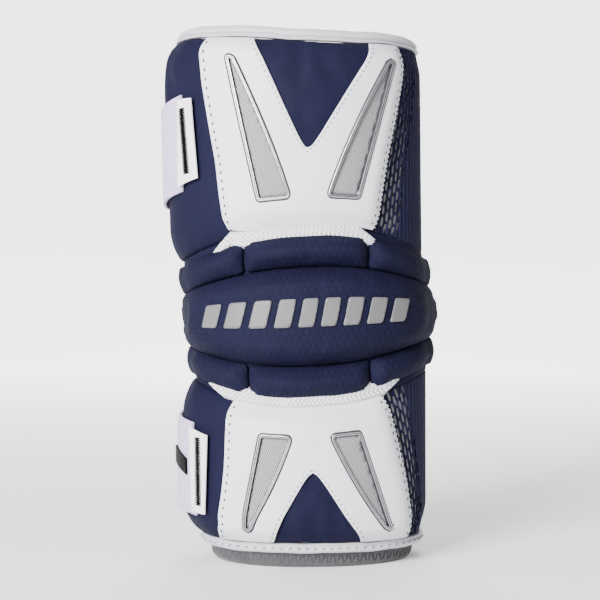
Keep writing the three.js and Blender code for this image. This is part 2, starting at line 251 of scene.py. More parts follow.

# %% [markdown]
# ## White skin, knit and elastic
# The panels are coated synthetic leather with a fine pebble. The strips beside the elbow are a
# bumpy knit with painted shade in the gaps between its pearls, the straps a ribbed elastic with a
# lavender cast, and the liner a grey sponge knit.

# %% White materials
def white_skin(name, light, shade_colour, rough):
    finish = Finish(name, Specular_IOR_Level=0.4)
    place = finish.object_place()
    pebble = finish.noise(place, 0.5 * MM, 1.0)
    cloud = finish.noise(place, 18 * MM)
    base = finish.mix((cloud * 0.6 + pebble * 0.3).clamp(0.1, 0.9), shade_colour, light)
    return finish.wear(Base_Color=base, Roughness=rough + cloud * 0.12 + pebble * 0.08,
                       Normal=finish.bump(pebble, 0.06 * MM, 0.35))


panel_skin = white_skin("panel_skin", colour(228, 228, 233), colour(204, 204, 212), 0.38)
binding_skin = white_skin("binding_skin", colour(200, 200, 205), colour(172, 172, 178), 0.42)
tab_skin = white_skin("tab_skin", colour(240, 240, 244), colour(228, 228, 234), 0.5)


def white_knit():
    finish = Finish("white_knit", Sheen_Weight=0.2, Specular_IOR_Level=0.2)
    u, v = finish.cloth_place()
    loops = u.wave(2.9) * 0.6 + v.wave(2.6) * 0.4
    cloud = finish.noise(finish.object_place(), 5 * MM)
    # The knit is painted dark where the pearl waves meet: painted shade in the gaps between pearls.
    shade = (loops.math("ABSOLUTE") * 0.9 + cloud * 0.5).clamp(0, 1)
    base = finish.mix(shade, colour(140, 140, 146), colour(232, 232, 236))
    return finish.wear(Base_Color=base, Roughness=0.85 + loops * 0.04,
                       Normal=finish.bump(loops, 0.2 * MM, 0.7))


underlay_knit = white_knit()


def elastic():
    finish = Finish("strap_elastic", Sheen_Weight=0.2, Specular_IOR_Level=0.25)
    u, v = finish.cloth_place()
    ribs = v.wave(1.3)
    weft = u.wave(0.8) * v.wave(2.6)
    cloud = finish.noise(finish.object_place(), 14 * MM)
    shade = (ribs * 0.2 + weft * 0.12 + cloud * 0.5 + 0.2).clamp(0, 1)
    base = finish.mix(shade, colour(182, 162, 204), colour(214, 197, 232))
    return finish.wear(Base_Color=base, Roughness=0.8 + weft * 0.05,
                       Normal=finish.bump(ribs + weft * 0.5, 0.12 * MM, 0.7))


strap_elastic = elastic()


def grey_liner(name, dark, light):
    finish = Finish(name, Sheen_Weight=0.2, Specular_IOR_Level=0.2)
    place = finish.object_place()
    grain = finish.noise(place, 0.7 * MM, 3.0)
    cloud = finish.noise(place, 9 * MM)
    base = finish.mix((grain * 0.7 + cloud * 0.4).clamp(0.2, 0.9), dark, light)
    return finish.wear(Base_Color=base, Roughness=0.85 + grain * 0.1,
                       Normal=finish.bump(grain, 0.2 * MM, 0.7))


hem_grey = grey_liner("hem_grey", colour(50, 50, 52), colour(84, 85, 87))
spacer_grey = grey_liner("spacer_grey", colour(150, 149, 152), colour(206, 205, 208))

# %% [markdown]
# ## Silver, black and thread
# The insert frames are metallised plastic with a soft gloss; their grooves and steep walls are
# painted dark grey as shade. The grille in each is a square weave laid at a slant, painted darker
# where its wires dip under, as shade. Stitches are twisted thread, which shows as short slanted ridges.

# %% Silver, black and thread
def plated(name, size, dark, light, rough, spread, **constants):
    """A smooth surface with soft patches of about this size."""
    finish = Finish(name, **constants)
    cloud = finish.noise(finish.object_place(), size)
    return finish.wear(Base_Color=finish.mix(cloud, dark, light), Roughness=rough + cloud * spread)


def silver_grille():
    finish = Finish("silver_grille", Metallic=0.25, Specular_IOR_Level=0.5)
    u, v = finish.cloth_place()
    across, along = (u + v * 0.35), (v - u * 0.35)
    over = across.wave(1.5) * along.wave(1.5)
    threads = across.wave(0.75).math("ABSOLUTE") * 0.5 + along.wave(0.75).math("ABSOLUTE") * 0.5
    # The weave is painted darker where the wires dip under: painted shade.
    base = finish.mix((over * 0.5 + 0.5).clamp(0.1, 0.9), colour(40, 40, 44), colour(180, 180, 183))
    return finish.wear(Base_Color=base, Roughness=0.42 + over * 0.08,
                       Normal=finish.bump(over * 0.7 + threads * 0.3, 0.2 * MM, 0.8))


def thread(name, dark, light, rough, pitch=0.6):
    finish = Finish(name, Specular_IOR_Level=0.4)
    u, v = finish.cloth_place()
    twist = (u + v).wave(pitch) * 0.5 + 0.5
    return finish.wear(Base_Color=finish.mix(twist, dark, light), Roughness=rough + twist * 0.1,
                       Normal=finish.bump(twist, 0.05 * MM, 0.6))


def black_rubber():
    finish = Finish("black_rubber", Specular_IOR_Level=0.08)
    grain = finish.noise(finish.object_place(), 0.8 * MM, 2.0)
    base = finish.mix(grain, colour(6, 6, 7), colour(15, 15, 17))
    return finish.wear(Base_Color=base, Roughness=0.4 + grain * 0.2,
                       Normal=finish.bump(grain, 0.08 * MM, 0.5))


rim_silver = plated("silver_rim", 6 * MM, colour(150, 150, 154), colour(200, 200, 204), 0.24, 0.12,
                    Metallic=0.85)
# The dark grey on the frame's grooves and steep inner walls is painted shade.
painted_groove_shade = plated("rim_groove", 3 * MM, colour(44, 44, 48), colour(72, 72, 76), 0.5, 0.1,
                     Metallic=0.4, Specular_IOR_Level=0.3)
grille_silver = silver_grille()
rubber = black_rubber()
grey_thread = thread("grey_thread", colour(48, 48, 56), colour(92, 92, 100), 0.6)
white_thread = thread("white_thread", colour(205, 205, 210), colour(244, 244, 247), 0.6)
pale_thread = thread("pale_thread", colour(84, 84, 91), colour(138, 138, 145), 0.6)
silver_thread = thread("silver_thread", colour(62, 62, 64), colour(126, 126, 127), 0.34, 1.0)
print("materials:", len(bpy.data.materials))

# %% [markdown]
# ## From the flat cut to the sleeve
# The sleeve's cross-sections change with height. A point of a flat cut holds its distance round
# the front, its height, and its rise above the liner. Wrapping turns all three into a place.

# %% The sleeve
SQUARENESS = 2.2
PAD_HEIGHT, RIM_LOW, RIM_HIGH = 290 * MM, 16.2 * MM, 282.8 * MM
ELBOW, ELBOW_BEND, DROOP, ROUND = 135.2 * MM, 30 * MM, 15 * MM, 12 * MM
LEAN = 2.5 * MM
CAP_LEVEL, BAND_LEVEL, PAD_LEVEL = 26.2 * MM, 43.8 * MM, 48 * MM
SECTIONS = np.array([  # height, wide, deep, shift, turn
    (0, 0.85, 0.92, 0.1, 0),
    (RIM_LOW, 0.89, 0.93, 0.105, 0),
    (RIM_LOW + ROUND, 0.95, 0.96, 0.095, -1.5),
    (ELBOW - ELBOW_BEND, 0.95, 0.97, 0.095, -5),
    (ELBOW, 0.955, 1, 0.08, -4),
    (ELBOW + ELBOW_BEND, 0.985, 1, 0.025, -2),
    (RIM_HIGH - ROUND, 1, 1, -0.005, 0),
    (RIM_HIGH, 0.98, 0.97, -0.025, 0),
    (PAD_HEIGHT, 0.95, 0.94, -0.025, 0),
])


def arc(degrees):
    """Length on the flat cut for an angle round the sleeve."""
    return math.radians(degrees) * HALF_WIDTH


def droop(around, height):
    """The rows near the elbow bend back towards it at the sides; the rims stay level."""
    level = height - ELBOW
    reach = np.where(level > 0, RIM_HIGH - ELBOW, ELBOW - RIM_LOW) - PAD_LEVEL
    fade = 1 - np.clip((np.abs(level) - PAD_LEVEL) / reach, 0, 1)
    grow = np.sign(level) * np.interp(np.abs(level), (0, CAP_LEVEL, BAND_LEVEL), (0, 0.8, 1))
    side = np.sin(around / HALF_WIDTH)
    return fade * (DROOP * grow * np.abs(side) ** 3 - LEAN * side)


def rim_lift(around, height):
    """The upper rim stands higher at the left side than in front."""
    near_rim = np.clip((height - RIM_HIGH) / (45 * MM) + 1, 0, 1)
    side = np.sin(around / HALF_WIDTH)
    return near_rim * (3 * MM * side ** 2 - 2 * MM * side)


def on_sleeve(flat, bend=True):
    """Places for an array of flat points."""
    around, height, rise = flat.T
    if bend:
        height = height - droop(around, height)
    lifted = height + rim_lift(around, height)
    wide, deep, shift, turn = (np.interp(height, SECTIONS[:, 0], SECTIONS[:, k]) for k in (1, 2, 3, 4))
    angle = around / HALF_WIDTH + np.radians(turn)
    side, front = np.sin(angle), np.cos(angle)
    a, b = wide * HALF_WIDTH, deep * HALF_DEPTH
    over_a, over_b = np.abs(side) / a, np.abs(front) / b
    radius = (over_a ** SQUARENESS + over_b ** SQUARENESS) ** (-1 / SQUARENESS)
    out_x = np.sign(side) * over_a ** (SQUARENESS - 1) / a
    out_y = -np.sign(front) * over_b ** (SQUARENESS - 1) / b
    size = np.hypot(out_x, out_y)
    x = SHIFT.x + shift * HALF_WIDTH + radius * side + rise * out_x / size
    y = SHIFT.y - radius * front + rise * out_y / size
    return np.column_stack([x, y, lifted])


def steps(low, high, pitch):
    """Even stations about a pitch apart."""
    return list(np.linspace(low, high, max(1, round(abs(high - low) / pitch)) + 1))


def soft(distance, reach):
    """Rounded fall towards an edge: 0 on it, 1 from reach inwards."""
    return np.sin(np.clip(distance / reach, 0, 1) * math.pi / 2)


print("sleeve rows:", len(SECTIONS))

# %% [markdown]
# ## Cutting and sewing
# A cut starts as a grid whose columns and rows are moved onto the pattern's lines. Sewing writes
# the flat place into the UV map, wraps the cut, closes it, and gives it its wall and softness.

# %% Cutting and sewing
flat_trees = {}  # the flat shape of each piece, for what is laid on top of it


def cut_sheet(columns, rows, keep=None):
    """A grid on stations: columns is a list, or a function of height that gives one."""
    lines = [columns(row) if callable(columns) else columns for row in rows]
    across, along = len(lines[0]) - 1, len(rows) - 1
    bm = bmesh.new()
    bmesh.ops.create_grid(bm, x_segments=across, y_segments=along, size=0.5)
    if keep is not None:
        unwanted = []
        for face in bm.faces:
            middle = face.calc_center_median()
            column = int((middle.x + 0.5) * across)
            row = int((middle.y + 0.5) * along)
            if not keep(column, row):
                unwanted.append(face)
        bmesh.ops.delete(bm, geom=unwanted, context="FACES")
    for vert in bm.verts:
        column = round((vert.co.x + 0.5) * across)
        row = round((vert.co.y + 0.5) * along)
        vert.co = (lines[row][column], rows[row], 0)
    bmesh.ops.remove_doubles(bm, verts=bm.verts, dist=0.02 * MM)
    return bm


def raise_cut(bm, rise):
    """Lifts each point of a flat cut by a function of its place."""
    for vert in bm.verts:
        vert.co.z += float(rise(vert.co.x, vert.co.y))


def sew(name, bm, materials, nodes=None, wall=0.0, level=1, bend=True):
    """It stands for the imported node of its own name, unless nodes says otherwise."""
    mesh = bpy.data.meshes.new(name)
    flat_area = sum(face.calc_area() for face in bm.faces)
    flat_trees[name] = BVHTree.FromBMesh(bm)
    bm.to_mesh(mesh)
    bm.free()
    flat = np.empty(len(mesh.vertices) * 3)
    mesh.vertices.foreach_get("co", flat)
    flat = flat.reshape(-1, 3)
    corners = np.empty(len(mesh.loops), dtype=np.int64)
    mesh.loops.foreach_get("vertex_index", corners)
    mesh.uv_layers.new(name="cut").data.foreach_set("uv", flat[corners][:, :2].ravel())
    mesh.vertices.foreach_set("co", on_sleeve(flat, bend).ravel())
    wrapped = bmesh.new()
    wrapped.from_mesh(mesh)
    bmesh.ops.remove_doubles(wrapped, verts=wrapped.verts, dist=0.02 * MM)
    turn_outwards(wrapped, wall > 0)
    for face in wrapped.faces:
        face.smooth = True
    wrapped.to_mesh(mesh)
    wrapped.free()
    for material in materials:
        mesh.materials.append(material)
    piece = bpy.data.objects.new(name + "_sewn", mesh)
    bpy.context.scene.collection.objects.link(piece)
    if wall > 0:
        thick = piece.modifiers.new("wall", "SOLIDIFY")
        thick.thickness = wall
        thick.offset = -1
    if level > 0:
        smooth = piece.modifiers.new("soften", "SUBSURF")
        smooth.levels = level
        smooth.render_levels = level
    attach(piece, "root")
    nodes = [name] if nodes is None else nodes
    if nodes:
        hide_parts(*nodes)
    return piece


def turn_outwards(bm, single):
    """A closed shell is turned by its own volume; a single layer away from the sleeve's axis."""
    bmesh.ops.recalc_face_normals(bm, faces=bm.faces)
    if not single:
        return
    axis = Vector((SHIFT.x + 0.05 * HALF_WIDTH, SHIFT.y, 0))
    total = 0.0
    for face in bm.faces:
        out = face.calc_center_median() - axis
        out.z = 0
        total += face.normal.dot(out.normalized()) * face.calc_area()
    if total < 0:
        bmesh.ops.reverse_faces(bm, faces=bm.faces)


# %% [markdown]
# ## Floor, backdrop and lights
# A pale floor runs up into a wall without an edge, all the way round: a half profile is spun
# once. Only the paper straight behind the pad is bright and glows; at the sides and in front the
# wall is darker, so that it sends less light back. A large soft lamp stands at the front left,
# smaller ones above and behind, and the right side falls darker.

# %% Stage and lights
def pale_stage():
    floor_radius, bend_radius, wall = 2.2, 1.0, 1.4
    bm = bmesh.new()
    profile = [(0, 0), (0.6, 0), (floor_radius, 0)]
    for step in range(1, 9):
        angle = step / 8 * math.pi / 2
        out, up = math.sin(angle), 1 - math.cos(angle)
        profile.append((floor_radius + bend_radius * out, bend_radius * up))
    profile.append((floor_radius + bend_radius, bend_radius + wall))
    verts = [bm.verts.new((x, 0, z)) for x, z in profile]
    edges = [bm.edges.new(pair) for pair in zip(verts, verts[1:])]
    bmesh.ops.spin(bm, geom=verts + edges, cent=(0, 0, 0), axis=(0, 0, 1), angle=math.tau,
                   steps=48, use_merge=True)
    bmesh.ops.remove_doubles(bm, verts=bm.verts, dist=MM)
    bmesh.ops.recalc_face_normals(bm, faces=bm.faces)
    if sum(face.normal.z for face in bm.faces) < 0:
        bmesh.ops.reverse_faces(bm, faces=bm.faces)
    mesh = bpy.data.meshes.new("stage")
    bm.to_mesh(mesh)
    bm.free()
    for face in mesh.polygons:
        face.use_smooth = True
    stage = bpy.data.objects.new("stage", mesh)
    bpy.context.scene.collection.objects.link(stage)
    finish = Finish("stage_paper", Roughness=0.9, Specular_IOR_Level=0.1, Emission_Strength=2.2)
    grain = finish.noise(finish.object_place(), 0.4, 2.0)
    across, depth, high = finish.parts(finish.object_place())
    aside = across.math("ABSOLUTE") - depth * 0.25
    glow = depth.clamp(0.15, 2.0) * (1 - aside.clamp(0.3, 0.9))
    around = aside.clamp(0.4, 1.2).math("MAXIMUM", 1 - depth.clamp(-1.0, 0.6))
    dark_wall = high.clamp(0.02, 1.2) * around
    paper = finish.mix(grain, colour(240, 240, 240), colour(246, 246, 246))
    mesh.materials.append(finish.wear(
        Base_Color=finish.mix(dark_wall, paper, colour(120, 120, 120)),
        Emission_Color=finish.mix(glow, (0.08, 0.08, 0.08, 1), (1, 1, 1, 1)),
    ))


def soft_lamp(name, place, size, power, aim=(0, 0, 0.14)):
    data = bpy.data.lights.new(name, "AREA")
    data.shape = "RECTANGLE"
    data.size, data.size_y = size
    data.energy = power
    lamp = bpy.data.objects.new(name, data)
    lamp.location = place
    lamp.rotation_euler = (Vector(aim) - Vector(place)).to_track_quat("-Z", "Y").to_euler()
    bpy.context.scene.collection.objects.link(lamp)


pale_stage()
soft_lamp("key", (-1.1, -1.55, 0.8), (0.8, 1.1), 134)
soft_lamp("top", (0, 0.1, 1.9), (1.2, 1.2), 9)
soft_lamp("behind", (0.2, 2.2, 1.6), (1.4, 1.0), 60)
world = bpy.data.worlds.new("studio")
world.use_nodes = True
world.node_tree.nodes["Background"].inputs["Color"].default_value = (1, 1, 1, 1)
world.node_tree.nodes["Background"].inputs["Strength"].default_value = 0.12
bpy.context.scene.world = world
print("lamps:", len(bpy.data.lights))

# %% [markdown]
# ## Liner and rims
# The liner is the tube that the arm goes through. Its bare hem shows at the bottom, with one row
# of small pressed chevrons. Each rim is bound by a padded roll, made from a profile drawn once
# and carried round the sleeve.

# %% Liner
FULL = arc(180)
HEM_TOP = 9.5 * MM
liner_cut = cut_sheet(steps(-FULL, FULL, 5 * MM), steps(HEM_TOP, RIM_HIGH, 6 * MM))
sew("liner", liner_cut, [spacer_grey], wall=3 * MM, bend=False)

CHEVRON_PITCH = 2 * FULL / 70
CHEVRON_HIGH, CHEVRON_MIDDLE = 2.6 * MM, 4.6 * MM


def hem_rise(around, height):
    """Pressed in along one slanted stroke and its mirror image in each pitch."""
    place = (around / CHEVRON_PITCH) % 1.0 - 0.5
    level = (height - CHEVRON_MIDDLE) / CHEVRON_HIGH
    stroke = abs(abs(place) * 2.2 - 0.55 - 0.45 * level)
    pressed = max(0.0, 1 - stroke * 3.2) * max(0.0, 1 - abs(level) ** 3)
    rolled = float(soft(min(height, 9 * MM), 3 * MM)) - 1
    return 1.6 * MM * rolled - 1.3 * MM * pressed


def hem_cut():
    bm = cut_sheet(steps(-FULL, FULL, CHEVRON_PITCH / 8), steps(0, HEM_TOP, 0.6 * MM))
    raise_cut(bm, hem_rise)
    return bm


sew("liner_hem", hem_cut(), [hem_grey], ["liner"], wall=2.2 * MM, level=0, bend=False)

# %% Bindings
def binding_cut(profile):
    """Profile points hold rise and height; a grid is bent so that its rows follow them."""
    bm = bmesh.new()
    around = steps(-FULL, FULL, 4 * MM)
    loop = [*profile, profile[0]]
    bmesh.ops.create_grid(bm, x_segments=len(around) - 1, y_segments=len(profile), size=0.5)
    for vert in bm.verts:
        column = round((vert.co.x + 0.5) * (len(around) - 1))
        rise, height = loop[round((vert.co.y + 0.5) * len(profile))]
        turn = around[column] / HALF_WIDTH
        waver = 0.25 * math.sin(turn * 9) + 0.2 * math.sin(turn * 17 + 1)
        vert.co = (around[column], (height + waver * 0.6) * MM, (rise + waver * 0.5) * MM)
    return bm


PROFILES = {  # rise above the liner and height, in millimetres
    "top_binding": [
        (-3.0, 283.0), (-3.3, 286.5), (-2.0, 289.0), (0.6, 289.9), (3.0, 289.0), (4.4, 286.8),
        (4.3, 285.4), (2.3, 284.8), (2.3, 284.3), (4.3, 283.8), (4.5, 283.0), (3.6, 282.6),
        (0.4, 282.8),
    ],
    "bottom_binding": [
        (0.4, 13.6), (0.4, 8.4), (2.4, 8.0), (4.2, 8.6), (5.0, 9.8), (5.0, 11.2), (4.3, 11.9),
        (3.2, 12.2), (4.5, 12.7), (4.2, 13.3), (3.0, 13.6),
    ],
}
for name, profile in PROFILES.items():
    sew(name, binding_cut(profile), [binding_skin], bend=False)

# %% [markdown]
# ## Elbow sleeve and backs
# Behind, where the straps cross, the pad is plain stretch knit. A knit tube that bends gathers
# into shallow folds, so its rows rise and fall a little.

# %% Knit behind
KNIT_RISE = 2.7 * MM


def gathered(around, height):
    """Shallow folds that fade out towards the front."""
    turn = around / HALF_WIDTH
    behind = max(0.0, -math.cos(turn)) ** 1.5
    wave = math.sin(height / (6 * MM) + 1.3 * math.sin(turn * 3) + math.cos(turn))
    return 1.3 * MM * behind * wave


def sleeve_cut():
    low, high = ELBOW - PAD_LEVEL - 0.3 * MM, ELBOW + PAD_LEVEL + 0.3 * MM
    bm = cut_sheet(steps(-FULL, FULL, 5 * MM), steps(low, high, 2.6 * MM))
    raise_cut(bm, lambda u, v: KNIT_RISE + gathered(u, v))
    return bm


sew("elbow_sleeve", sleeve_cut(), [navy_plain], wall=2 * MM)

# %% Halves of the arm
# A panel's edges are (height in mm, degrees) for its left and its right side. A notch is its depth,
# its turn in degrees and its left and right slope. A window is its inner, outer and tip degrees.
# A strap is its height and its slant, threads are the net's near the elbow and at the rim, and
# corner is how far the panel's lower left corner is drawn up.
HALVES = [
    {
        "name": "upper", "way": 1, "rim": RIM_HIGH - 0.4 * MM, "margin": 11 * MM,
        "notch": (58 * MM, 0, 0.52, 0.68), "strap": (229 * MM, -0.19), "threads": (0.5 * MM, 1.0 * MM),
        "corner": 3.6 * MM,
        "edges": (
            ((183, 41.4), (190, 43.2), (203, 44.8), (222, 46.8), (244, 50.6), (261, 53.6), (275, 55),
             (283, 54)),
            ((183, 37.6), (190, 39.4), (203, 41.2), (224, 44.6), (246, 49.2), (265, 52.8), (283, 54)),
        ),
        "windows": ((9.6, 25, 40.4), (11, 26.6, 44.8)),
    },
    {
        "name": "lower", "way": -1, "rim": RIM_LOW - 2.4 * MM, "margin": 8.0 * MM,
        "notch": (38.3 * MM, -1.3, 0.69, 0.7), "strap": (51.5 * MM, 0.12), "threads": (0.5 * MM, 0.62 * MM),
        "corner": 0.0,
        "edges": (
            ((13, 61), (18, 56.2), (23, 53), (38, 49.8), (52, 47.6), (70, 46), (82, 45), (87, 43.6)),
            ((13, 55.4), (27, 55), (42, 52.8), (62, 48.4), (78, 44.6), (87, 41.2)),
        ),
        "windows": ((12, 27.6, 39.2), (9.4, 25, 39.8)),
    },
]
PAD_THICK, PAD_EDGE, PAD_LIP = 9.8 * MM, 3.6 * MM, arc(3)
PAD_BACK, TIP_HALF, RIM_ROUND = arc(125), 0.9 * MM, 8 * MM
SKIN = 1.5 * MM


def spread_out(values):
    """Heights from low to high, none closer than a fifth of a millimetre."""
    kept = []
    for value in sorted(values):
        if not kept or value - kept[-1] > 0.2 * MM:
            kept.append(value)
    return kept


class Half:
    """The lines of one arm half, upper or lower, on the flat cut."""

    def __init__(self, name, way, rim, notch, margin, strap, threads, corner, edges, windows):
        self.name, self.way, self.rim, self.strap = name, way, rim, strap
        self.threads, self.corner = threads, corner
        self.edges = [np.array(edge) for edge in edges]
        self.windows = windows
        self.notch_deep, self.notch_turn, *self.notch_slopes = notch
        self.near = ELBOW + way * PAD_LEVEL
        self.low, self.high = sorted((self.near, rim))
        self.reach = abs(rim - self.near)
        self.wide_end = self.near + way * 16 * MM
        self.tip = rim - way * margin

    def panel_edge(self, height, side):
        """Distance of the panel's edge from the middle line: side 0 is the left one, 1 the right."""
        table = self.edges[side]
        return arc(float(np.interp(height / MM, table[:, 0], table[:, 1])))

    def pad_front(self, height):
        return self.panel_edge(height, 1) + PAD_LIP

    def notch(self, height, side):
        deep = max(0.0, self.notch_deep - abs(self.rim - height))
        half = self.notch_slopes[side] * math.sqrt(deep ** 2 + 2 * 6.5 * MM * deep)
        return half + (2 * side - 1) * arc(self.notch_turn)

    def window(self, height, side, bow=1.6 * MM):
        """The sides of a window at a height; the one that faces the notch is bowed a little."""
        share = float(np.clip((height - self.wide_end) / (self.tip - self.wide_end), 0, 1))
        inner, outer, tip = (arc(degrees) for degrees in self.windows[side])
        near = inner + (tip - TIP_HALF - inner) * share - bow * 4 * share * (1 - share)
        return near, outer + (tip + TIP_HALF - outer) * share

    def pad_rise(self, around, height):
        front = self.pad_front(height) - around
        back = around + PAD_BACK
        ends = soft(abs(height - self.near), ROUND) * soft(abs(self.rim - height), RIM_ROUND)
        crown = float(soft(min(front, back), ROUND) * ends)
        rim_near = math.exp(-abs(self.rim - height) / (9 * MM))
        pucker = math.sin(around / (3.4 * MM) + 1.5 * math.sin(around / (11 * MM))) * rim_near
        return PAD_EDGE + (PAD_THICK - PAD_EDGE) * crown + 0.4 * MM * pucker * crown


halves = [Half(**half) for half in HALVES]
STRAP_WIDTH, STRAP_WALL = 51 * MM, 1.6 * MM


def strap_drop(half, u):
    """The strap leaves its tab at a slant and runs level round the back."""
    return half.strap[1] * float(np.clip(-arc(62) - u, 0, arc(34)))

# %% [markdown]
# ## Foam pads
# Each arm half has one foam pad under navy cloth, thinner towards its edges. A slab with two
# faces is made from one sheet by the solidify operator, and its outer face is crowned. Then the
# cloth solver blows it up a little while it is flat, so that it puffs up between its seams.

# %% Swelling by simulation
LAST_FRAME, PRESSURE = 20, 4


def swell(cuts, held, sideways, upwards):
    """Blows flat cushions up with the cloth solver, all at once, caps how far a point moves,
    and evens their heights out."""
    scene = bpy.context.scene
    trials = {}
    for name, bm in cuts.items():
        mesh = bpy.data.meshes.new(name + "_trial")
        bm.to_mesh(mesh)
        trial = bpy.data.objects.new(name + "_trial", mesh)
        scene.collection.objects.link(trial)
        pins = trial.vertex_groups.new(name="held")
        pins.add([vert.index for vert in mesh.vertices if held(name, vert.co)], 1.0, "REPLACE")
        cloth = trial.modifiers.new("cloth", "CLOTH")
        cloth.settings.vertex_group_mass = "held"
        cloth.settings.use_pressure = True
        cloth.settings.uniform_pressure_force = PRESSURE
        cloth.settings.effector_weights.gravity = 0
        cloth.settings.shrink_min = -0.03
        cloth.point_cache.frame_end = LAST_FRAME
        trials[name] = trial
    for number in range(1, LAST_FRAME + 1):
        scene.frame_set(number)
    depsgraph = bpy.context.evaluated_depsgraph_get()
    for name, trial in trials.items():
        blown = trial.evaluated_get(depsgraph).to_mesh()
        furthest = 0.0
        for vert, moved in zip(cuts[name].verts, [v.co.copy() for v in blown.vertices]):
            step = moved - vert.co
            furthest = max(furthest, step.length)
            side = Vector((step.x, step.y, 0))
            side *= min(1.0, sideways / max(side.length, 1e-9))
            vert.co += side + Vector((0, 0, max(-0.5 * upwards, min(upwards, step.z))))
        free = [vert for vert in cuts[name].verts if not held(name, vert.co)]
        bmesh.ops.smooth_vert(cuts[name], verts=free, factor=0.4, use_axis_z=True)
        print(f"{name}: blown up, furthest {furthest / MM:.2f} mm")
        mesh = trial.data
        bpy.data.objects.remove(trial)
        bpy.data.meshes.remove(mesh)
    scene.frame_set(1)


# %% Foam pads
def slab(columns, rows, base, top, rounding=0.0):
    """A closed slab on a flat cut: the inner face follows base, the outer face top."""
    bm = cut_sheet(columns, rows)
    if rounding:
        round_corners(bm, rounding)
    bmesh.ops.solidify(bm, geom=bm.faces[:], thickness=MM)
    level = sorted(vert.co.z for vert in bm.verts)
    middle = (level[0] + level[-1]) / 2
    for vert in bm.verts:
        rise = top if vert.co.z > middle else base
        vert.co.z = float(rise(vert.co.x, vert.co.y))
    bmesh.ops.recalc_face_normals(bm, faces=bm.faces)
    return bm


def round_corners(bm, radius):
    """Moves the corners of a four-sided cut onto quarter circles."""
    xs, ys = [v.co.x for v in bm.verts], [v.co.y for v in bm.verts]
    for corner_x, corner_y in [(x, y) for x in (min(xs), max(xs)) for y in (min(ys), max(ys))]:
        centre_x = corner_x - math.copysign(radius, corner_x - (min(xs) + max(xs)) / 2)
        centre_y = corner_y - math.copysign(radius, corner_y - (min(ys) + max(ys)) / 2)
        for vert in bm.verts:
            x, y = vert.co.x - centre_x, vert.co.y - centre_y
            beyond = x * (corner_x - centre_x) > 0 and y * (corner_y - centre_y) > 0
            if beyond and math.hypot(x, y) > 0:
                share = max(abs(x), abs(y)) / math.hypot(x, y)
                vert.co.x, vert.co.y = centre_x + x * share, centre_y + y * share


def edged(low, high, edge, pitch):
    """Stations that crowd together within an edge of both ends."""
    inner = steps(low + edge, high - edge, pitch)
    return [low, low + 0.12 * edge, low + 0.4 * edge, *inner,
            high - 0.4 * edge, high - 0.12 * edge, high]


def pad_cut(half):
    reach = PAD_BACK + half.pad_front(half.rim)

    def columns(height):
        """The same columns at every height, drawn together where the pad is narrower."""
        share = (PAD_BACK + half.pad_front(height)) / reach
        return [-PAD_BACK + share * place for place in edged(0, reach, ROUND, 3.4 * MM)]

    rows = edged(half.low, half.high, ROUND, 3.4 * MM)
    return slab(columns, rows, lambda u, v: 0.7 * MM, half.pad_rise)


def pad_held(name, place):
    """Where a pad can't swell: on the liner, under its panel, and under its strap."""
    half = halves[0] if name.startswith("upper") else halves[1]
    u, v = place.x, place.y
    skin = -half.panel_edge(v, 0) - 2 * MM < u and not -half.notch(v, 0) < u < half.notch(v, 1)
    strap = u < -arc(54) and abs(v - half.strap[0] - strap_drop(half, u)) < STRAP_WIDTH / 2 + 4 * MM
    return place.z < 1.0 * MM or skin or strap


flat_pads = {f"{half.name}_pad": pad_cut(half) for half in halves}
swell(flat_pads, pad_held, sideways=0.2 * MM, upwards=1.3 * MM)
for name, bm in flat_pads.items():
    pad = sew(name, bm, [navy_plain])

# %% [markdown]
# ## White panels
# A panel is one piece of skin with a notch and two long windows. Its grid lines follow the
# notch, the windows and the edges at every height, so the openings are whole faces left out.

# %% White panels
EDGE_LOOP = 0.45 * MM
NOTCH_CELLS, WINDOW_CELLS, EDGE_CELLS = 7, 4, 8
WINDOW_END = NOTCH_CELLS + WINDOW_CELLS
PANEL_CELLS = WINDOW_END + EDGE_CELLS


def between(low, high, cells):
    """Stations from low to high, with one close to each end for a crisp rolled edge."""
    if high - low < 4 * EDGE_LOOP:
        return list(np.linspace(low, high, cells + 1))
    return [low, *np.linspace(low + EDGE_LOOP, high - EDGE_LOOP, cells - 1), high]


def panel_columns(half, height):
    both = []
    for side in (0, 1):
        inner, outer = half.window(height, side)
        notch, edge = half.notch(height, side), half.panel_edge(height, side)
        both.append([
            *between(notch, inner, NOTCH_CELLS),
            *between(inner, outer, WINDOW_CELLS)[1:],
            *between(outer, edge, EDGE_CELLS)[1:],
        ])
    return [-x for x in reversed(both[0])] + both[1]


def skin_rise(half):
    """The panel's outer surface."""
    return lambda u, v: half.pad_rise(u, v) + SKIN + 0.3 * MM


def corner_lift(half, around):
    """The panel's lower left corner is drawn up from the elbow, and the strip under it follows."""
    return half.corner * float(np.clip((-around - arc(26)) / arc(15), 0, 1)) ** 2


